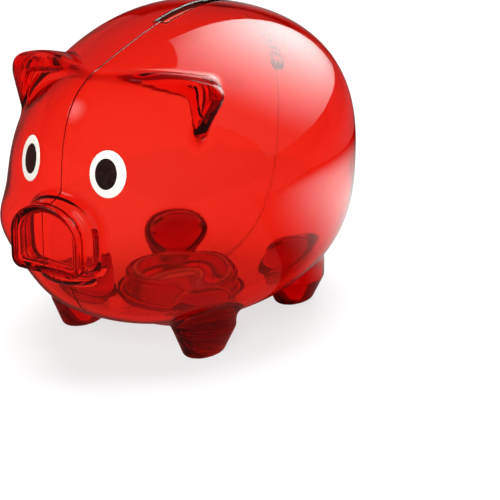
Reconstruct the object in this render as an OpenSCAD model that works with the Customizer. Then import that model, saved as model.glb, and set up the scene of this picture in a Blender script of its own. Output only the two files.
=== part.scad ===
// Money box in the shape of a pig: two moulded half shells glued on an upright seam,
// printed eyes, and a push-in stopper in the belly.
// Millimetres. The snout points to -X, the pig's own left side is -Y, +Z is up.
// The origin is on the table, under the centre of the overall box.

/* [Body] */
// Distance from the origin forward to the front of the head
head_x = 49.8; // [48:0.1:52]
// Distance from the origin back to the rump
rump_x = 56; // [55:0.1:57]
// Height of the widest line of the body above the table
axis_z = 45.5; // [44:0.1:47]
// Half width of the body at the neck
neck_half_w = 39.7; // [38:0.1:41]
// Height from the widest line up to the back, at the neck
neck_up = 38.2; // [37:0.1:39]
// Depth from the widest line down to the throat, at the neck
neck_down = 39; // [38:0.1:40]
// Wall thickness of the moulding
wall = 1.7; // [1.4:0.1:2]

/* [Slot] */
// Width of the coin slot
slot_w = 3.3; // [2.8:0.1:3.8]
// Length of the coin slot
slot_len = 32; // [28:1:36]
// Front end of the coin slot
slot_x = -5.5; // [-8:0.5:-4]

/* [Snout] */
// Half width of the snout
snout_half_w = 10.8; // [10:0.1:12]
// Underside of the snout
snout_z0 = 31; // [30:0.5:32]
// Top of the snout
snout_z1 = 49.2; // [48:0.1:50]
// Front face of the snout, forward of the origin
snout_x = 57.5; // [56:0.5:59]

/* [Legs] */
// Centre of the front feet along the body
front_foot_x = -15.7; // [-17:0.1:-14]
// Centre of the rear feet along the body
rear_foot_x = 31; // [30:0.1:32]
// Centre of each foot out from the seam
foot_y = 20.5; // [19.5:0.1:21.5]
// Height at which a leg flares into the belly
leg_flare_z = 7.5; // [7:0.1:8]

/* [Belly stopper] */
// Centre of the emptying hole along the body
hole_x = 3; // [2:0.5:5]
// Radius of the emptying hole
hole_r = 14; // [13:0.1:14.5]
// Radius of the stopper's flange
flange_r = 17; // [16.5:0.1:17.5]
// Gap all round between the stopper and the hole
stopper_gap = 0.3; // [0.25:0.05:0.4]

/* [Ink] */
// Thickness of each printed layer of the eyes
ink = 0.4; // [0.3:0.05:0.6]

/* [Hidden] */
$fn = 48;

red = [0.85, 0.10, 0.08, 0.6];
big = 200;

// Body: every cross-section is a rounded box, fuller below than above. Its half width,
// its height and its depth swell by a cubic in v, which is 0 at the neck and 1 at the
// rump, and it grows squarer towards the rump. Both ends close as blunt round caps.
neck_x = -17;
width_swell = [1, 0.705, -1.15, 0.705];
up_swell = [1, 0.48, -0.20, -0.036];
down_swell = [1, 0.31, -0.65, 0.64];
upper_power = [1.98, 0.56];
lower_power = [2.56, 0.26];
cap_power = 2.47;
head_power = 7.4;
rump_power = 2.55;
head_rings = 12;
rump_rings = 16;

// Jowls: a soft bulge low on each cheek, as a share of the width, its middle and its reach.
jowl = 0.19;
jowl_x = -41;
jowl_z = 33;
jowl_long = 11;
jowl_tall = 9;
ring_points = 48;

function swell(c, v) = c[0] + c[1] * v + c[2] * v * v + c[3] * v * v * v;
function signed_power(v, e) = sign(v) * pow(abs(v), e);
function jowl_swell(x, z) =
  let (along = (x - jowl_x) / jowl_long, up = (z - jowl_z) / jowl_tall)
  1 + jowl * exp(-along * along - up * up);

// One cross-section, grown outwards by g; side is -1 in front of the neck, 1 behind it.
function ring(side, turn, g) =
  let (
    power = side < 0 ? head_power : rump_power,
    reach = side < 0 ? head_x + neck_x : rump_x - neck_x,
    angle = 90 * pow(turn, power / 2),
    t = side * pow(sin(angle), 2 / power),
    v = reach * t / (rump_x - neck_x),
    cap = pow(max(cos(angle), 0), 2 / cap_power),
    half_w = (neck_half_w * swell(width_swell, v) + g) * cap,
    up = (neck_up * swell(up_swell, v) + g) * cap,
    down = (neck_down * swell(down_swell, v) + g) * cap
  )
  [for (i = [0 : ring_points - 1])
    let (
      a = 360 * i / ring_points,
      square = sin(a) < 0 ? lower_power : upper_power,
      e = 2 / (square[0] + square[1] * v),
      x = neck_x + (reach + g) * t,
      z = axis_z + (sin(a) < 0 ? down : up) * signed_power(sin(a), e)
    )
    [x, half_w * signed_power(cos(a), e) * jowl_swell(x, z), z]];

// A closed skin over a row of rings, with a tip at each end.
module skin(rings, front_tip, back_tip) {
  last = len(rings) - 1;
  n = ring_points;
  points = concat([for (r = rings) each r], [front_tip, back_tip]);
  sides = [for (k = [0 : last - 1], i = [0 : n - 1])
    let (a = k * n + i, b = k * n + (i + 1) % n)
    each [[a, b + n, b], [a, a + n, b + n]]];
  front_cap = [for (i = [0 : n - 1]) [i, (i + 1) % n, len(points) - 2]];
  back_cap = [for (i = [0 : n - 1]) [last * n + (i + 1) % n, last * n + i, len(points) - 1]];
  polyhedron(points, concat(sides, front_cap, back_cap));
}

function head_skin(g) = [for (i = [head_rings - 1 : -1 : 1]) ring(-1, i / head_rings, g)];
function rump_skin(g) = [for (i = [0 : rump_rings - 1]) ring(1, i / rump_rings, g)];

// The whole body, grown by g (negative for the inside of the wall).
module body_form(g) {
  skin(concat(head_skin(g), rump_skin(g)), [-head_x - g, 0, axis_z], [rump_x + g, 0, axis_z]);
}

// Only the front of the head, cut off flat.
module head_form(g) {
  rings = [for (i = [head_rings - 1 : -1 : 4]) ring(-1, i / head_rings, g)];
  skin(rings, [-head_x - g, 0, axis_z], [rings[len(rings) - 1][0][0], 0, axis_z]);
}

// A short stubby leg, solid: an oval foot that flares upwards into the belly and ends in a
// low dome inside.
foot_a = 6.9;
foot_b = 4.8;
flare_a = 9.5;
flare_b = 8.4;
foot_round = 0.8;
leg_top_z = 17.5;
dome_drop = 3.5;
dome_inset = 4;

module oval_disc(a, b, z, h) {
  translate([0, 0, z]) linear_extrude(h) scale([1, b / a]) circle(a, $fn = 32);
}

module leg(x) {
  translate([x, foot_y, 0]) hull() {
    oval_disc(foot_a - foot_round, foot_b - foot_round, 0, 0.1);
    oval_disc(foot_a, foot_b, foot_round, 0.1);
    oval_disc(flare_a, flare_b, leg_flare_z, leg_top_z - dome_drop - leg_flare_z);
    oval_disc(flare_a - dome_inset, flare_b - dome_inset, leg_top_z - 0.1, 0.1);
  }
}

module legs() {
  for (x = [front_foot_x, rear_foot_x]) leg(x);
}

// The snout's outline: an arch over a flat underside with rounded corners.
module snout(g) {
  corner = 3 + g;
  arch = snout_half_w + g;
  low = snout_z0 - g + corner;
  spring = snout_z1 + g - arch * 0.82;
  translate([g < 0 ? -snout_x + wall : -snout_x, 0, 0])
    rotate([90, 0, 90]) linear_extrude(snout_x - 34) union() {
      translate([0, spring]) intersection() {
        scale([1, 0.82]) circle(arch);
        translate([-big / 2, 0]) square([big, big / 2]);
      }
      translate([-arch, low]) square([2 * arch, spring - low]);
      translate([-arch + corner, low - corner]) square([2 * (arch - corner), corner]);
      for (s = [-1, 1]) translate([s * (arch - corner), low]) circle(corner);
    }
}

// The lower lip: a shallow rounded ledge tucked under the snout.
lip_round = 2;
lip_middle = [-51.2, 0, 28.4];
lip_corner = [-46.5, 7.6, 29.4];
lip_chin = [-45, 0, 26];
module lower_lip() {
  hull() {
    for (p = [lip_middle, lip_chin]) translate(p) sphere(lip_round, $fn = 24);
    for (m = [0, 1]) mirror([0, m, 0]) translate(lip_corner) sphere(lip_round, $fn = 24);
  }
}

// Ears: hollow three-cornered wedges whose tips point out sideways.
ear_root_top = [-34.5, 9, 75];
ear_ridge = [-25, 16, 77.4];
ear_root_back = [-17, 25.8, 73.4];
ear_root_low = [-29.5, 26.5, 63.2];
ear_tip = [-27.3, 32.6, 72];
ear_round = 1.9;

module ear(g) {
  hull() for (p = [ear_root_top, ear_ridge, ear_root_back, ear_root_low, ear_tip])
    translate(p + (g < 0 ? 0.45 : 0) * ([-27, 14, 69] - p)) sphere(ear_round, $fn = 16);
}

// The tail: a flat curl in the seam plane, with a loop.
tail_half_t = 1.8;
module tail() {
  rotate([90, 0, 0]) translate([0, 0, -tail_half_t]) linear_extrude(2 * tail_half_t) difference() {
    union() {
      translate([47.6, 74.6]) circle(3);
      translate([54.1, 72]) circle(3.4);
      translate([54.2, 64.4]) circle(2.9);
      polygon([[43, 66], [45, 77], [48, 77.6], [54.5, 75.4], [55, 61.6], [50, 60]]);
    }
    translate([54.1, 72]) circle(1.8);
  }
}

// Belly: a flat round seat for the stopper's flange, and a short collar inside.
seat_z = 4.8;
seat_r = 17.8;
collar_z = 13;
module seat() { translate([hole_x, 0, seat_z]) cylinder(h = 3, r = seat_r, $fn = 64); }
module collar() {
  translate([hole_x, 0, seat_z]) cylinder(h = collar_z - seat_z, r = hole_r + wall, $fn = 64);
}

module outside() {
  body_form(0);
  legs();
  snout(0);
  lower_lip();
  ear(0);
  tail();
  seat();
}

module inside() {
  difference() {
    union() {
      body_form(-wall);
      snout(-wall);
      ear(-wall);
    }
    legs();
    translate([hole_x, 0, 0]) cylinder(h = seat_z + wall, r = seat_r + 4, $fn = 64);
    collar();
  }
}

// The half on +Y, which is the pig's right.
module half_shell() {
  difference() {
    outside();
    inside();
    translate([slot_x, -slot_w / 2, axis_z]) cube([slot_len, slot_w, big]);
    translate([hole_x, 0, -1]) cylinder(h = 20, r = hole_r, $fn = 64);
    translate([-big / 2, -big, -big / 2]) cube([big, big, big]);
  }
}

module left_half_shell() { color(red) mirror([0, 1, 0]) half_shell(); }
module right_half_shell() { color(red) half_shell(); }

// A soft cup with a flange, which pushes up into the hole from below.
module belly_stopper() {
  flange_t = 1.8;
  skirt_r = hole_r - stopper_gap;
  skirt_t = 1.6;
  lip_z = seat_z - stopper_gap;
  top_z = collar_z + 0.5;
  color([0.75, 0.09, 0.08]) translate([hole_x, 0, 0]) rotate_extrude($fn = 64) polygon([
    [0, lip_z - 0.6], [12, lip_z - 0.6], [12.4, lip_z - flange_t],
    [flange_r - 0.5, lip_z - flange_t], [flange_r, lip_z - flange_t + 0.5], [flange_r, lip_z],
    [skirt_r, lip_z], [skirt_r, top_z - 0.8], [skirt_r - 0.8, top_z],
    [skirt_r - skirt_t, top_z], [skirt_r - skirt_t, lip_z + 1], [0, lip_z + 1]]);
}

// Eyes: ovals printed on the head; each layer follows the body's own surface.
eye_y = 12.4;
eye_x = -46.6;
eye_z = 56.8;
eye_turn = 25;
eye_tilt = 14;
white_a = 5;
white_b = 6;
pupil_a = 2.85;
pupil_b = 3.95;
ink_gap = 0.03;
module eye_layer(a, b, inner, outer) {
  intersection() {
    difference() { head_form(outer); head_form(inner); }
    translate([eye_x, eye_y, eye_z]) rotate([0, 0, -eye_turn]) rotate([0, -90 + eye_tilt, 0])
      translate([0, 0, -8]) linear_extrude(20) scale([b / a, 1]) circle(a);
  }
}
module eye_white() { eye_layer(white_a, white_b, ink_gap, ink_gap + ink); }
module pupil() { eye_layer(pupil_a, pupil_b, 2 * ink_gap + ink, 2 * ink_gap + 2 * ink); }

module left_eye_white() { color("ivory") mirror([0, 1, 0]) eye_white(); }
module right_eye_white() { color("ivory") eye_white(); }
module left_pupil() { color([0.04, 0.04, 0.04]) mirror([0, 1, 0]) pupil(); }
module right_pupil() { color([0.04, 0.04, 0.04]) pupil(); }

left_half_shell();
right_half_shell();
belly_stopper();
left_eye_white();
right_eye_white();
left_pupil();
right_pupil();
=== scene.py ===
# The visual model of a money box in the shape of a pig: two clear red half shells, a soft
# stopper in the belly and printed eyes. The shells and the stopper are the zero surfaces of
# distance fields, in millimetres. The snout points to -X, the pig's own right side is +Y and
# +Z is up. The shell is made once, on the right, and mirrored.
import math

import bpy
import numpy as np
from mathutils import Matrix, Vector


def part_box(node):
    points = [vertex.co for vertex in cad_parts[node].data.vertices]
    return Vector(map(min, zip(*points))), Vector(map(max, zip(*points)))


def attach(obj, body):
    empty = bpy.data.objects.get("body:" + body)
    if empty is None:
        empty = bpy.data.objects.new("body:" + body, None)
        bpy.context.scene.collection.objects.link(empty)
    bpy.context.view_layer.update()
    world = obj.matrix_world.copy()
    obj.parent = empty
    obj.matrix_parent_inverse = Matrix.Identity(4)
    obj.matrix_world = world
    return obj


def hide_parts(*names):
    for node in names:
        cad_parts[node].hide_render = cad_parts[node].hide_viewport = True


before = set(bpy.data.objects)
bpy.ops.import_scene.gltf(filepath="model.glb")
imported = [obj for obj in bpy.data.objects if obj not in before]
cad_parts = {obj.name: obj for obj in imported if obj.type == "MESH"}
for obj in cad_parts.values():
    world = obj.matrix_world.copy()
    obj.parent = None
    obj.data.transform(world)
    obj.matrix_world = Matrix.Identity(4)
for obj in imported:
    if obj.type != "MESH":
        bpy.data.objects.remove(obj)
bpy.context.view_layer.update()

# ---------------------------------------------------------------- sizes (millimetres)
MM = 0.001


def mm_box(node):
    lo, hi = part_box(node)
    return np.array(lo) / MM, np.array(hi) / MM


shell_lo, shell_hi = mm_box("right_half_shell")
stop_lo, stop_hi = mm_box("belly_stopper")

# Body: cross-sections swell with v, which is 0 at the neck and 1 at the rump.
HEAD_X, NECK_X, RUMP_X = 49.8, -17.0, 56.0
AXIS_Z = 45.5
HALF_W, UP, DOWN = 39.7, 38.2, 39.0
WIDTH_SWELL = (1, 0.705, -1.15, 0.705)
UP_SWELL = (1, 0.48, -0.20, -0.036)
DOWN_SWELL = (1, 0.31, -0.65, 0.64)
UPPER_POWER, LOWER_POWER, CAP_POWER = (1.98, 0.56), (2.56, 0.26), 2.47
HEAD_POWER, RUMP_POWER = 7.4, 2.55
JOWL, JOWL_X, JOWL_Z, JOWL_LONG, JOWL_TALL = 0.19, -41.0, 33.0, 11.0, 9.0
WALL = 1.7

# Snout, lip, legs
SNOUT_X = -shell_lo[0]
SNOUT_W, SNOUT_Z0, SNOUT_Z1 = 10.8, 31.0, 49.2
SNOUT_ARCH, SNOUT_CORNER, SNOUT_ROOT_X = 0.82, 3.0, -34
# Both are placed by their distance behind the snout's face.
GROOVE_DEPTH, GROOVE_BACK, GROOVE_REACH = 0.3, 3.6, 0.7
COLLAR_RISE, COLLAR_BACK, COLLAR_SOFT = 0.9, 6.0, 0.5
FRONT_FOOT, REAR_FOOT, FOOT_Y = -15.7, 31.0, 20.5
LEG_FLARE_Z, LEG_TOP_Z, LEG_DOME = 7.5, 17.5, 6
FOOT_A, FOOT_B = 6.9, 4.8
LEG_GROW_A, LEG_GROW_B = 2.6, 3.6
LIP_MIDDLE, LIP_HALF = (-45.5, 0, 28.8), (8.0, 9.4, 3.6)

# Tail: a flat curl in the seam plane. Discs are (x, z, radius), the web is a bar between two
# points with its radius, and the eye is the small oval hole in the loop.
TAIL_ROOT, TAIL_LOOP, TAIL_LOBE = (47.6, 74.6, 3.0), (54.1, 72.0, 3.3), (54.4, 64.2, 2.7)
TAIL_WEB = ((46.5, 71.5), (50.5, 65), 3.6)
TAIL_EYE, TAIL_EYE_HALF = (54.3, 71.8), (1.6, 2.0)
TAIL_HALF_T = 1.8

# Slot in the back, and hole in the belly with its seat and collar
SLOT_HALF, SLOT_X0, SLOT_X1 = 1.65, -5.5, 26.5
HOLE_X = (stop_lo[0] + stop_hi[0]) / 2
HOLE_R, HOLE_TOP_Z = 14.0, 20
SEAT_Z, SEAT_R, SEAT_T, SEAT_MARGIN = 4.8, 17.8, 3, 3
COLLAR_Z = 13.0

# Stopper: a cup with a flange, a shallow dish with a button underneath and a thumb notch
FLANGE_T, SKIRT_GAP, SKIRT_T = 1.8, 0.3, 1.6
DISH_R, DISH_T, DISH_SLOPE = 12.0, 0.6, 0.3
NOTCH_R, NOTCH_OUT, NOTCH_DEEP = 3.2, 0.6, 1.0
BUTTON_R, BUTTON_HOLE_R, BUTTON_T = 3.2, 1.6, 1.1

# Ears, on the pig's right. Corners: root in front, top of the ridge, root behind, tip seen from
# above, tip seen from the front, and the low corner. POCKET is the inner corner of the hollow
# in the front face.
EAR = [
    np.array(p)
    for p in (
        (-36, 2.6, 78.9), (-28.5, 17, 80.0), (-15, 24, 76.6),
        (-27.8, 33, 77.2), (-28, 33.2, 72.5), (-29.9, 28.4, 62.4),
    )
]
POCKET, POCKET_DEPTH = np.array([-29.8, 25.4, 74.8]), 2.4
EAR_GROW, EAR_ROOT_IN = 0.9, 3

# Each half stands this far off the seam plane, and its edge there is rounded.
SEAM_GAP, SEAM_ROUND = 0.02, 0.22

# Eyes: printed ovals, as half sizes and heights above the shell. The middle lies on EYE, and
# the oval faces forwards, turned out and tilted up.
EYE = np.array([-46.6, 12.4, 56.8])
EYE_TURN, EYE_TILT = math.radians(25), math.radians(14)
WHITE_HALF, WHITE_LAYER = (4.7, 6.0), (0.02, 0.12)
PUPIL_HALF, PUPIL_LAYER, PUPIL_INWARD = (2.8, 3.95), (0.135, 0.23), 0.45


# ---------------------------------------------------------------- distance fields
# smin joins two shapes and smax keeps what they share; k is how wide the blend is.
def smin(a, b, k):
    h = np.maximum(k - np.abs(a - b), 0) / k
    return np.minimum(a, b) - h * h * k / 4


def smax(a, b, k):
    return -smin(-a, -b, k)


def swell(c, v):
    """The cubic in v with coefficients c."""
    return c[0] + v * (c[1] + v * (c[2] + v * c[3]))


def ellipse(p, q, a, b):
    """Distance to an ellipse with half sizes a and b, close to its rim."""
    k0 = np.sqrt((p / a) ** 2 + (q / b) ** 2) + 1e-9
    k1 = np.sqrt((p / a**2) ** 2 + (q / b**2) ** 2) + 1e-10
    return k0 * (k0 - 1) / k1


def ellipsoid(x, y, z, c, r):
    """Distance to an ellipsoid with middle c and half sizes r, close to its surface."""
    p, q, t = x - c[0], y - c[1], z - c[2]
    k0 = np.sqrt((p / r[0]) ** 2 + (q / r[1]) ** 2 + (t / r[2]) ** 2) + 1e-9
    k1 = np.sqrt((p / r[0] ** 2) ** 2 + (q / r[1] ** 2) ** 2 + (t / r[2] ** 2) ** 2) + 1e-10
    return k0 * (k0 - 1) / k1


def body_level(x, y, z):
    """Zero on the body, negative inside it; not a distance yet."""
    v = (x - NECK_X) / (RUMP_X - NECK_X)
    t = np.where(v < 0, (NECK_X - x) / (HEAD_X + NECK_X), v)
    v = np.clip(v, -0.6, 1.1)
    w = HALF_W * swell(WIDTH_SWELL, v)
    up, down = UP * swell(UP_SWELL, v), DOWN * swell(DOWN_SWELL, v)
    cheek = ((x - JOWL_X) / JOWL_LONG) ** 2
    jowl = 1 + JOWL * np.exp(-cheek - ((z - JOWL_Z) / JOWL_TALL) ** 2)
    across = np.abs(y) / (w * jowl)
    high = np.clip(z - AXIS_Z, 0, None) / up
    low = np.clip(AXIS_Z - z, 0, None) / down
    above = UPPER_POWER[0] + UPPER_POWER[1] * v
    below = LOWER_POWER[0] + LOWER_POWER[1] * v
    tall = (across**above + high**above) ** (CAP_POWER / above)
    deep = (across**below + low**below) ** (CAP_POWER / below)
    return np.where(z >= AXIS_Z, tall, deep) + t ** np.where(x < NECK_X, HEAD_POWER, RUMP_POWER) - 1


def body(x, y, z):
    """The body's level divided by its slope, which is close to a distance."""
    h = 0.02
    f = body_level(x, y, z)
    gx = (body_level(x + h, y, z) - f) / h
    gy = (body_level(x, np.abs(y) + h, z) - f) / h
    gz = (body_level(x, y, z + h) - f) / h
    return f / np.sqrt(gx * gx + gy * gy + gz * gz + 4e-5)


def leg(x, y, z, cx):
    s = np.clip(z / LEG_FLARE_Z, 0, 1)
    side = ellipse(x - cx, y - FOOT_Y, FOOT_A + LEG_GROW_A * s, FOOT_B + LEG_GROW_B * s)
    return smax(smax(side, -z, 1.0), z - LEG_TOP_Z, LEG_DOME)


def legs(x, y, z):
    return np.minimum(leg(x, y, z, FRONT_FOOT), leg(x, y, z, REAR_FOOT))


def snout(x, y, z):
    """An arch over a flat underside with rounded corners, run back into the head."""
    spring = SNOUT_Z1 - SNOUT_ARCH * SNOUT_W
    arch = ellipse(y, z - spring, SNOUT_W, SNOUT_ARCH * SNOUT_W)
    qy, qz = y - (SNOUT_W - SNOUT_CORNER), SNOUT_Z0 + SNOUT_CORNER - z
    corner = np.hypot(np.maximum(qy, 0), np.maximum(qz, 0)) - SNOUT_CORNER
    low = corner + np.minimum(np.maximum(qy, qz), 0)
    behind = x + SNOUT_X
    groove = GROOVE_DEPTH * np.exp(-(((behind - GROOVE_BACK) / GROOVE_REACH) ** 2))
    collar = COLLAR_RISE / (1 + np.exp((COLLAR_BACK - behind) / COLLAR_SOFT))
    outline = np.where(z > spring, arch, low) + groove - collar
    return smax(smax(outline, -behind, 0.7), x - SNOUT_ROOT_X, 2)


EAR_MIDDLE = sum(EAR) / len(EAR)


def plane(a, b, c, grow=0.0):
    """The plane through three points, as (normal away from the middle of the ear, offset)."""
    n = np.cross(b - a, c - a)
    n = n / np.linalg.norm(n)
    if np.dot(n, EAR_MIDDLE - a) > 0:
        n = -n
    return n, np.dot(n, a) + grow


def side_of(face, x, y, z):
    """Distance out from a face made by plane()."""
    n, d = face
    return n[0] * x + n[1] * y + n[2] * z - d


ROOF = plane(EAR[0], EAR[1], EAR[3], EAR_GROW)
RIDGE = plane(EAR[1], EAR[2], EAR[3], EAR_GROW)
INNER = plane(EAR[0], EAR[1], EAR[2], EAR_GROW)
FRONT = plane(EAR[0], EAR[4], EAR[5], EAR_GROW)
BACK = plane(EAR[2], EAR[4], EAR[5], EAR_GROW)
ROOT = plane(EAR[0], EAR[2], EAR[5], EAR_GROW)
POCKET_FLOOR = plane(EAR[0], POCKET - POCKET_DEPTH * FRONT[0], EAR[5], EAR_GROW)
POCKET_TOP = plane(EAR[0], POCKET, POCKET + FRONT[0])
POCKET_SIDE = plane(POCKET, EAR[5], POCKET + FRONT[0])


def ear(x, y, z):
    """A rolled wedge with a pocket in its front face."""
    at = (x, y, z)
    top = smax(smax(side_of(ROOF, *at), side_of(RIDGE, *at), 4), side_of(INNER, *at), 4)
    wedge = smax(smax(top, side_of(BACK, *at), 4), side_of(FRONT, *at), 4.5)
    edges = smax(side_of(POCKET_TOP, *at), side_of(POCKET_SIDE, *at), 1.5)
    pocket = smax(-side_of(POCKET_FLOOR, *at), edges, 1.0)
    return smax(smax(wedge, -pocket, 0.8), side_of(ROOT, *at) - EAR_ROOT_IN, 2)


def disc(x, z, cx, cz, r):
    return np.hypot(x - cx, z - cz) - r


def bar(x, z, a, b, r):
    """A bar with round ends, from a to b in the seam plane."""
    ux, uz = b[0] - a[0], b[1] - a[1]
    t = np.clip(((x - a[0]) * ux + (z - a[1]) * uz) / (ux * ux + uz * uz), 0, 1)
    return np.hypot(x - a[0] - t * ux, z - a[1] - t * uz) - r


def tail(x, y, z):
    loop = smin(disc(x, z, *TAIL_ROOT), disc(x, z, *TAIL_LOOP), 1.4)
    lobe = smin(loop, disc(x, z, *TAIL_LOBE), 1.0)
    curl = smin(lobe, bar(x, z, *TAIL_WEB), 1.2)
    eye = ellipse(x - TAIL_EYE[0], z - TAIL_EYE[1], *TAIL_EYE_HALF)
    return smax(smax(curl, -eye, 0.6), y - TAIL_HALF_T, 1.4)


def core(x, y, z):
    """Everything that is hollow: body, lip, snout and ears."""
    f = smin(body(x, y, z), ellipsoid(x, y, z, LIP_MIDDLE, LIP_HALF), 1.0)
    f = smin(f, snout(x, y, z), 2.0)
    return smin(f, ear(x, y, z), 1.2)


def round_edge(d, r):
    """How far an edge of radius r has drawn in, at distance d inside the joint face."""
    d = np.clip(d, 0, r)
    return r - np.sqrt(r * r - (r - d) ** 2)


def half_shell(x, y, z):
    """The right half of the moulding, which ends in a flat face on the seam."""
    hollow, stand = core(x, y, z), legs(x, y, z)
    around = np.hypot(x - HOLE_X, y)
    seat = smax(around - SEAT_R, np.maximum(SEAT_Z - z, z - SEAT_Z - SEAT_T), 0.8)
    form = smin(smin(smin(hollow, stand, 2.2), tail(x, y, z), 1.2), seat, 0.8)
    outer = form + round_edge(y - SEAM_GAP, SEAM_ROUND)
    collar = smax(around - HOLE_R - WALL, z - COLLAR_Z, 0.8)
    floor = smax(around - SEAT_R - SEAT_MARGIN, z - SEAT_Z - WALL, 0.8)
    cavity = smax(smax(smax(hollow + WALL, -stand, 1.5), -collar, 0.8), -floor, 0.8)
    f = smax(outer, -cavity, 0.3)
    slot_ends = np.maximum(SLOT_X0 - x, x - SLOT_X1)
    slot = np.maximum(np.maximum(y - SLOT_HALF, slot_ends), AXIS_Z - z)
    f = smax(f, -slot, 0.4)
    return smax(f, -np.maximum(around - HOLE_R, z - HOLE_TOP_Z), 0.7)


def stopper(x, y, z):
    r = np.hypot(x - HOLE_X, y)
    flange_r = (stop_hi[0] - stop_lo[0]) / 2
    z0, z1 = stop_lo[2], stop_hi[2]
    lip = z0 + FLANGE_T
    flange = smax(r - flange_r, np.maximum(z0 - z, z - lip), 0.9)
    skirt = smax(r - (HOLE_R - SKIRT_GAP), np.maximum(lip - DISH_T - z, z - z1), 1.2)
    f = smin(flange, skirt, 0.4)
    cup = smax(r - (HOLE_R - SKIRT_GAP - SKIRT_T), lip + 1 - z, 1.0)
    f = smax(f, -cup, 0.4)
    dish = smax(r - DISH_R - DISH_SLOPE * (z0 - z), z - lip + DISH_T, 0.6)
    f = smax(f, -dish, 0.5)
    beside = np.hypot(x - HOLE_X - flange_r - NOTCH_OUT, y)
    notch = smax(beside - NOTCH_R, z - z0 - NOTCH_DEEP, 0.5)
    f = smax(f, -notch, 0.4)
    button = smax(r - BUTTON_R, np.maximum(lip - BUTTON_T - z, z - lip), 0.5)
    return smin(f, smax(button, -(r - BUTTON_HOLE_R), 0.5), 0.4)


# ---------------------------------------------------------------- field to mesh
def slopes(field, p, h=0.06):
    """The field's slope along each axis at points p."""
    g = np.empty_like(p)
    for a in range(3):
        q = p.copy()
        q[:, a] += h
        up = field(*q.T)
        q[:, a] -= 2 * h
        g[:, a] = (up - field(*q.T)) / (2 * h)
    return g


def grid(*spans):
    """Grid lines from (start, end, step) spans, end to end."""
    lines = [np.linspace(a, b, max(2, round((b - a) / s) + 1))[:-1] for a, b, s in spans]
    return np.append(np.concatenate(lines), spans[-1][1])


def skin(field, xs, ys, zs, flat_first=False):
    """Points, quads and normals of the field's zero surface, and which quads lie in the flat
    face. With flat_first the piece ends in a flat face on the second y line."""
    lines = (xs, ys, zs)
    values = field(xs[:, None, None], ys[None, :, None], zs[None, None, :])
    v = np.array(np.broadcast_to(values, [len(s) for s in lines]))
    for a in range(3):
        edge = np.moveaxis(v, a, 0)
        edge[0] = edge[-1] = np.abs(edge[1]) + 1
    inside = v < 0
    cells = [len(s) - 1 for s in lines]
    size = cells[0] * cells[1] * cells[2]
    total, weight = np.zeros((3, size)), np.zeros(size)
    quads = []
    for a in range(3):
        b, c = (a + 1) % 3, (a + 2) % 3
        low = np.moveaxis(inside, a, 0)[:-1]
        high = np.moveaxis(inside, a, 0)[1:]
        hit = np.moveaxis(low != high, 0, a)
        index = list(np.nonzero(hit))
        beyond = list(index)
        beyond[a] = index[a] + 1
        v0, v1 = v[tuple(index)], v[tuple(beyond)]
        t = v0 / (v0 - v1)
        place = [lines[d][index[d]] for d in range(3)]
        place[a] = place[a] + t * (lines[a][beyond[a]] - lines[a][index[a]])
        share = np.ones(len(t))
        if flat_first and a == 1:
            first = index[1] == 0
            place[1] = np.where(first, ys[1], place[1])
            share[first] = 1e-5
        corners = []
        for ob, oc in ((-1, -1), (0, -1), (0, 0), (-1, 0)):
            cell = list(index)
            cell[b] = index[b] + ob
            cell[c] = index[c] + oc
            flat = (cell[0] * cells[1] + cell[1]) * cells[2] + cell[2]
            weight += np.bincount(flat, share, size)
            for d in range(3):
                total[d] += np.bincount(flat, share * place[d], size)
            corners.append(flat)
        quad = np.stack(corners, 1)
        outward = inside[tuple(index)]
        quads.append(np.where(outward[:, None], quad, quad[:, ::-1]))
    quads = np.concatenate(quads)
    used, quads = np.unique(quads, return_inverse=True)
    quads = quads.reshape(-1, 4)
    p = (total[:, used] / weight[used]).T
    row = (used // cells[2]) % cells[1]
    face_flat = flat_first & (row == 0)
    rim = face_flat & (weight[used] > 0.5)
    # Newton steps of at most 0.3 mm; points on the rim of the flat face stay in its plane.
    for _ in range(4):
        move = np.flatnonzero(~face_flat | rim)
        g = slopes(field, p[move])
        g[rim[move], 1] = 0
        step = field(*p[move].T)[:, None] * g / np.maximum((g * g).sum(1), 0.05)[:, None]
        length = np.linalg.norm(step, axis=1, keepdims=True)
        p[move] -= step * np.minimum(1, 0.3 / np.maximum(length, 1e-9))
    n = slopes(field, p)
    n /= np.maximum(np.linalg.norm(n, axis=1, keepdims=True), 1e-9)
    capped = face_flat[quads].all(1)
    return p, quads, n, capped


def build(name, p, quads, n, capped=None, mirror=False):
    """A mesh object with its own smooth normals; capped quads stay flat."""
    p, n = p.copy(), n.copy()
    cap_normal = np.array([0.0, -1.0, 0.0])
    if mirror:
        p[:, 1] *= -1
        n[:, 1] *= -1
        quads = quads[:, ::-1]
        cap_normal = -cap_normal
    mesh = bpy.data.meshes.new(name)
    mesh.vertices.add(len(p))
    mesh.vertices.foreach_set("co", (p * MM).astype(np.float32).ravel())
    mesh.loops.add(quads.size)
    mesh.loops.foreach_set("vertex_index", quads.astype(np.int32).ravel())
    mesh.polygons.add(len(quads))
    mesh.polygons.foreach_set("loop_start", np.arange(0, quads.size, 4, dtype=np.int32))
    mesh.polygons.foreach_set("loop_total", np.full(len(quads), 4, np.int32))
    mesh.update(calc_edges=True)
    mesh.validate()
    mesh.polygons.foreach_set("use_smooth", np.ones(len(mesh.polygons), bool))
    loops = n[quads.ravel()]
    if capped is not None:
        loops[np.repeat(capped, 4)] = cap_normal
    mesh.normals_split_custom_set(loops.tolist())
    o = bpy.data.objects.new(name, mesh)
    bpy.context.scene.collection.objects.link(o)
    return o


def fit_out(name, material, body, slot_name, *nodes):
    """Gives a piece its material and its body, and hides the CAD nodes that it stands for."""
    o = bpy.data.objects[name]
    o.data.materials.append(material)
    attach(o, body)
    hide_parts(*nodes)
    return o


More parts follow.
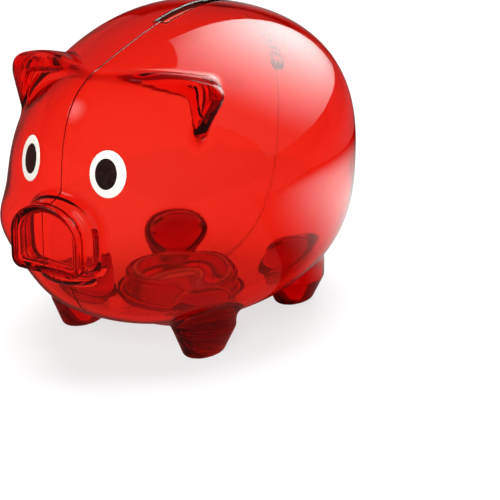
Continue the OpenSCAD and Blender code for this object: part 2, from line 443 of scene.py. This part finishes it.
# ---------------------------------------------------------------- materials
def new_material(name):
    m = bpy.data.materials.new(name)
    m.use_nodes = True
    nodes = m.node_tree.nodes
    return m, nodes, m.node_tree.links, nodes["Principled BSDF"]


def noise(nodes, links, scale, detail, rough=0.5):
    coord = nodes.new("ShaderNodeTexCoord")
    tex = nodes.new("ShaderNodeTexNoise")
    tex.inputs["Scale"].default_value = scale
    tex.inputs["Detail"].default_value = detail
    tex.inputs["Roughness"].default_value = rough
    links.new(coord.outputs["Object"], tex.inputs["Vector"])
    return tex


def to_range(nodes, links, source, low, high):
    node = nodes.new("ShaderNodeMapRange")
    node.inputs["To Min"].default_value = low
    node.inputs["To Max"].default_value = high
    node.inputs["From Min"].default_value = 0.3
    node.inputs["From Max"].default_value = 0.7
    links.new(source, node.inputs["Value"])
    return node.outputs["Result"]


def bump(nodes, links, shader, source, strength, distance):
    node = nodes.new("ShaderNodeBump")
    node.inputs["Strength"].default_value = strength
    node.inputs["Distance"].default_value = distance
    links.new(source, node.inputs["Height"])
    links.new(node.outputs["Normal"], shader.inputs["Normal"])


def mottled(nodes, links, shader, scale, low, high, low_at, high_at):
    """Colours a shader in small blotches between low and high."""
    mottle = noise(nodes, links, scale, 4)
    ramp = nodes.new("ShaderNodeValToRGB")
    first, last = ramp.color_ramp.elements
    first.position, last.position = low_at, high_at
    first.color, last.color = low, high
    links.new(mottle.outputs["Fac"], ramp.inputs["Fac"])
    links.new(ramp.outputs["Color"], shader.inputs["Base Color"])


def clear_red():
    m, nodes, links, shader = new_material("shell_red")
    shader.inputs["Base Color"].default_value = (1.0, 0.95, 0.94, 1)
    shader.inputs["Transmission Weight"].default_value = 1.0
    shader.inputs["IOR"].default_value = 1.57
    fine = noise(nodes, links, 900, 3)
    links.new(to_range(nodes, links, fine.outputs["Fac"], 0.015, 0.05), shader.inputs["Roughness"])
    flow = noise(nodes, links, 55, 2)
    bump(nodes, links, shader, flow.outputs["Fac"], 0.12, 0.0006)
    inside = nodes.new("ShaderNodeVolumeAbsorption")
    inside.inputs["Color"].default_value = (0.965, 0.17, 0.02, 1)
    inside.inputs["Density"].default_value = 1300
    links.new(inside.outputs["Volume"], nodes["Material Output"].inputs["Volume"])
    return m


def vinyl():
    m, nodes, links, shader = new_material("stopper_red")
    low, high = (0.92, 0.21, 0.13, 1), (0.97, 0.28, 0.18, 1)
    mottled(nodes, links, shader, 140, low, high, 0.3, 0.7)
    shader.inputs["Transmission Weight"].default_value = 0.9
    shader.inputs["IOR"].default_value = 1.5
    fine = noise(nodes, links, 1800, 3)
    links.new(to_range(nodes, links, fine.outputs["Fac"], 0.16, 0.26), shader.inputs["Roughness"])
    bump(nodes, links, shader, fine.outputs["Fac"], 0.25, 0.00008)
    return m


def ink(name, low, high, rough):
    m, nodes, links, shader = new_material(name)
    mottled(nodes, links, shader, 700, low, high, 0.35, 0.65)
    shader.inputs["Specular IOR Level"].default_value = 0.35
    fine = noise(nodes, links, 2500, 3)
    links.new(to_range(nodes, links, fine.outputs["Fac"], *rough), shader.inputs["Roughness"])
    bump(nodes, links, shader, fine.outputs["Fac"], 0.15, 0.00003)
    return m


red = clear_red()
soft_red = vinyl()
white_ink = ink("ink_white", (0.88, 0.86, 0.76, 1), (0.96, 0.94, 0.86, 1), (0.22, 0.34))
black_ink = ink("ink_black", (0.006, 0.005, 0.005, 1), (0.014, 0.011, 0.010, 1), (0.08, 0.16))

# ---------------------------------------------------------------- shells
# Grid lines are closer at the snout's face, the seam, the feet and the slot.
STEP = 0.72
xs = grid((-58.2, -55, 0.4), (-55, 58.2, STEP))
seam_lines = SEAM_GAP + np.array([0, 0.1, SEAM_ROUND, 0.4, 0.75, 1.1])
side_lines = grid((1.4, 2.0, 0.3), (2.0, shell_hi[1] + 0.8, STEP))
ys = np.concatenate([[-0.5], seam_lines, side_lines])
zs = grid((-0.7, 12, 0.65), (12, 80, STEP), (80, 88.2, 0.6))
shape = skin(half_shell, xs, ys, zs, flat_first=True)
build("Half_shell_right", *shape)
build("Half_shell_left", *shape, mirror=True)
fit_out("Half_shell_right", red, "bank", "shell_red", "right_half_shell")
fit_out("Half_shell_left", red, "bank", "shell_red", "left_half_shell")

# ---------------------------------------------------------------- stopper
xs = grid((stop_lo[0] - 1, stop_hi[0] + 1, 0.45))
ys = grid((stop_lo[1] - 1, stop_hi[1] + 1, 0.45))
zs = grid((stop_lo[2] - 0.7, stop_hi[2] + 0.7, 0.3))
p, quads, n, _ = skin(stopper, xs, ys, zs)
build("Belly_stopper", p, quads, n)
fit_out("Belly_stopper", soft_red, "stopper", "stopper_red", "belly_stopper")

# ---------------------------------------------------------------- eyes
turned, tilted = (math.sin(EYE_TURN), math.cos(EYE_TURN)), (math.sin(EYE_TILT), math.cos(EYE_TILT))
EYE_AIM = np.array([-turned[1] * tilted[1], turned[0] * tilted[1], tilted[0]])
EYE_ACROSS = np.array([turned[0], turned[1], 0.0])
EYE_TALL = np.array([turned[1] * tilted[0], -turned[0] * tilted[0], tilted[1]])


def eye_layer(name, a, b, low, high, inward, mirror):
    """A printed oval that follows the head: half sizes a and b, between two heights above the
    shell, its middle moved inward towards the seam."""
    rings, turns = 16, 72
    rho = np.sin(np.linspace(0, math.pi / 2, rings + 1)[1:])
    angle = np.arange(turns) * 2 * math.pi / turns
    u = np.append((rho[:, None] * np.cos(angle)).ravel(), 0)
    w = np.append((rho[:, None] * np.sin(angle)).ravel(), 0)
    p = EYE + (a * u[:, None] - inward) * EYE_ACROSS + b * w[:, None] * EYE_TALL + 6 * EYE_AIM
    for _ in range(14):
        p -= core(*p.T)[:, None] * EYE_AIM * 0.9
    g = slopes(core, p)
    g /= np.linalg.norm(g, axis=1, keepdims=True)
    edge = np.hypot(u, w)[:, None]
    top = p + g * (low + (high - low) * np.sqrt(np.clip(1 - edge**24, 0, 1)))
    bottom = p + g * low
    count = len(p)
    ring = np.arange(rings * turns).reshape(rings, turns)
    nxt = np.roll(ring, -1, 1)
    side = np.stack([ring[:-1], nxt[:-1], nxt[1:], ring[1:]], -1).reshape(-1, 4)
    hub = np.stack([ring[0], nxt[0], np.full(turns, count - 1)], -1)
    faces = [tuple(f[::-1]) for f in side] + [tuple(f) for f in hub]
    faces += [tuple(f + count) for f in side] + [tuple(f[::-1] + count) for f in hub]
    wall = np.stack([nxt[-1], nxt[-1] + count, ring[-1] + count, ring[-1]], -1)
    faces += [tuple(f) for f in wall[:, ::-1]]
    co = np.concatenate([top, bottom])
    if mirror:
        co[:, 1] *= -1
        faces = [f[::-1] for f in faces]
    mesh = bpy.data.meshes.new(name)
    mesh.from_pydata((co * MM).tolist(), [], [[int(i) for i in f] for f in faces])
    mesh.polygons.foreach_set("use_smooth", np.ones(len(mesh.polygons), bool))
    o = bpy.data.objects.new(name, mesh)
    bpy.context.scene.collection.objects.link(o)
    return o


for side_name, mirror in (("right", False), ("left", True)):
    eye_layer("Eye_white_" + side_name, *WHITE_HALF, *WHITE_LAYER, 0.0, mirror)
    fit_out("Eye_white_" + side_name, white_ink, "bank", "ink_white", side_name + "_eye_white")
    eye_layer("Pupil_" + side_name, *PUPIL_HALF, *PUPIL_LAYER, PUPIL_INWARD, mirror)
    fit_out("Pupil_" + side_name, black_ink, "bank", "ink_black", side_name + "_pupil")

# ---------------------------------------------------------------- stage
scene = bpy.context.scene
PAPER_TURN = math.radians(35)


def sheet(name, verts, faces, material):
    mesh = bpy.data.meshes.new(name)
    mesh.from_pydata(verts, [], faces)
    mesh.polygons.foreach_set("use_smooth", [True] * len(mesh.polygons))
    mesh.materials.append(material)
    o = bpy.data.objects.new(name, mesh)
    scene.collection.objects.link(o)
    return o


def floor_and_reflection_sheet(name, shade, tint, glow, drop):
    """A sheet on the table, swept up behind the pig. The white one is the floor; the dark reddish one
    under it glows as a painted reflection.
    """
    m, nodes, links, shader = new_material(name)
    shader.inputs["Base Color"].default_value = (shade, shade, shade, 1)
    shader.inputs["Specular IOR Level"].default_value = 0.1
    shader.inputs["Emission Color"].default_value = (*tint, 1)
    shader.inputs["Emission Strength"].default_value = glow
    fine = noise(nodes, links, 300, 3)
    links.new(to_range(nodes, links, fine.outputs["Fac"], 0.7, 0.85), shader.inputs["Roughness"])
    reach, back, bend, top, turns = 3.0, 1.5, 0.4, 1.6, 12
    profile = [(-reach, 0.0)]
    for i in range(turns + 1):
        t = i / turns * math.pi / 2
        profile.append((back + bend * math.sin(t), bend - bend * math.cos(t)))
    profile.append((back + bend, top))
    verts = [(d, s * reach, z - drop) for d, z in profile for s in (-1, 1)]
    faces = [(2 * i, 2 * i + 2, 2 * i + 3, 2 * i + 1) for i in range(len(profile) - 1)]
    o = sheet(name, verts, faces, m)
    o.rotation_euler = (0, 0, PAPER_TURN)
    return o


def softbox(name, centre, right, up, size, low, high, hot=(0.5, 0.5), reach=(0.5, 0.5)):
    """A glowing panel that only shows as a reflection, brightest at its hot spot."""
    m = bpy.data.materials.new(name)
    m.use_nodes = True
    nodes, links = m.node_tree.nodes, m.node_tree.links
    nodes.clear()
    coord = nodes.new("ShaderNodeTexCoord")
    shift = nodes.new("ShaderNodeMapping")
    shift.inputs["Location"].default_value = (-hot[0] / reach[0], -hot[1] / reach[1], 0)
    shift.inputs["Scale"].default_value = (1 / reach[0], 1 / reach[1], 0)
    links.new(coord.outputs["Generated"], shift.inputs["Vector"])
    fade = nodes.new("ShaderNodeTexGradient")
    fade.gradient_type = "SPHERICAL"
    links.new(shift.outputs["Vector"], fade.inputs["Vector"])
    level = nodes.new("ShaderNodeMapRange")
    level.interpolation_type = "SMOOTHSTEP"
    level.inputs["To Min"].default_value = low
    level.inputs["To Max"].default_value = high
    links.new(fade.outputs["Fac"], level.inputs["Value"])
    glow = nodes.new("ShaderNodeEmission")
    glow.inputs["Color"].default_value = (0.93, 1.0, 0.98, 1)
    links.new(level.outputs["Result"], glow.inputs["Strength"])
    out = nodes.new("ShaderNodeOutputMaterial")
    links.new(glow.outputs["Emission"], out.inputs["Surface"])
    a, b = size[0] / 2, size[1] / 2
    o = sheet(name, [(-a, -b, 0), (a, -b, 0), (a, b, 0), (-a, b, 0)], [(0, 1, 2, 3)], m)
    r, u = Vector(right).normalized(), Vector(up).normalized()
    o.matrix_world = Matrix.Translation(centre) @ Matrix((r, u, r.cross(u))).transposed().to_4x4()
    for ray in ("camera", "diffuse", "transmission", "volume_scatter", "shadow"):
        setattr(o, "visible_" + ray, False)
    return o


def area(name, place, aim, wide, tall, power):
    light = bpy.data.lights.new(name, "AREA")
    light.shape = "RECTANGLE"
    light.size, light.size_y = wide, tall
    light.energy = power
    o = bpy.data.objects.new(name, light)
    scene.collection.objects.link(o)
    o.location = place
    o.rotation_euler = (Vector(aim) - Vector(place)).to_track_quat("-Z", "Y").to_euler()
    for ray in ("camera", "glossy", "transmission"):
        setattr(o, "visible_" + ray, False)
    return o


def facing(turn, tilt):
    """Unit vectors to, across and up a panel: turned from -Y towards +X and tilted up, in degrees."""
    t, e = math.radians(turn), math.radians(tilt)
    toward = Vector((math.sin(t) * math.cos(e), -math.cos(t) * math.cos(e), math.sin(e)))
    across = Vector((math.cos(t), math.sin(t), 0))
    return toward, across, across.cross(-toward)


# Everything on the stage is in metres. The white floor takes no part in reflections. Reflections show
# instead the darker, reddish glowing sheet just under it, a painted reflection that keeps the red
# deep where the shell mirrors the floor.
CENTRE = Vector((0, 0, 0.045))
paper_top = floor_and_reflection_sheet("Paper", 0.34, (1, 1, 1), 0.70, 0.0)
paper_top.visible_glossy = False
# Painted reflection: a dark red glowing sheet seen only in reflections, in place of the white floor.
floor_and_reflection_sheet("Painted_reflection_sheet", 0.03, (1, 0.14, 0.12), 0.25, 0.0015)
area("Overhead", (0.1, 0.05, 1.3), (0.05, 0, 0), 1.1, 1.1, 22)
area("Fill", (-0.8, -0.35, 0.45), (0, 0, 0.05), 0.5, 0.5, 6)

# The large softbox, on the pig's left, leans a little.
SOFTBOX_SIZE, SOFTBOX_LEVELS = (1.06, 0.8), (0.2, 7.0)
SOFTBOX_HOT, SOFTBOX_REACH = (0.74, 0.48), (0.58, 0.70)
SOFTBOX_AWAY, SOFTBOX_ACROSS, SOFTBOX_UP = 0.6, -0.06, 0.17
toward, across, over = facing(62, 30)
lean = math.radians(-7)
side_axis = across * math.cos(lean) + over * math.sin(lean)
tall_axis = over * math.cos(lean) - across * math.sin(lean)
middle = CENTRE + toward * SOFTBOX_AWAY + across * SOFTBOX_ACROSS + over * SOFTBOX_UP
softbox("Softbox", middle, side_axis, tall_axis, SOFTBOX_SIZE, *SOFTBOX_LEVELS,
        SOFTBOX_HOT, SOFTBOX_REACH)
softbox("Floor_card", (0.125, -0.09, -0.0007), (1, 0, 0), (0, 1, 0), (0.22, 0.36), 0.0, 1.8)
for name, turn, tilt, away, size, glow in (
    ("Brow_card", -122, 40, 0.6, (0.46, 0.46), 2.6),
    ("Rim_card", 118, 0, 0.8, (0.45, 0.6), 0.25),
):
    toward, across, over = facing(turn, tilt)
    softbox(name, CENTRE + toward * away, across, over, size, 0.0, glow)

# Painted reflection: the background is dark red and lights no diffuse surface. It shows in the
# shell's reflections, so the shell's grazing edges reflect dark crimson.
world = bpy.data.worlds.new("Painted_red_reflection_room")
scene.world = world
world.use_nodes = True
world.node_tree.nodes["Background"].inputs["Color"].default_value = (0.30, 0.035, 0.03, 1)
world.cycles_visibility.diffuse = False

# ---------------------------------------------------------------- camera
CAMERA_AT, CAMERA_AIM = (-0.3956, -0.2766, 0.1970), (0.0063, -0.0210, 0.0224)
CAMERA_LENS, CAMERA_SENSOR, CAMERA_ROLL = 132.3, 36, math.radians(0.5)
camera = bpy.data.cameras.new("Camera")
camera.lens, camera.sensor_width = CAMERA_LENS, CAMERA_SENSOR
camera_object = bpy.data.objects.new("Camera", camera)
scene.collection.objects.link(camera_object)
camera_object.location = CAMERA_AT
sight = Vector(CAMERA_AIM) - camera_object.location
straight = sight.to_track_quat("-Z", "Y").to_matrix()
camera_object.rotation_euler = (straight @ Matrix.Rotation(CAMERA_ROLL, 3, "Z")).to_euler()
camera.clip_start, camera.clip_end = 0.02, 20
scene.camera = camera_object

# The light crosses many clear walls.
scene.view_settings.view_transform = "Standard"
scene.cycles.max_bounces = 24
scene.cycles.transmission_bounces = 24
scene.cycles.glossy_bounces = 8
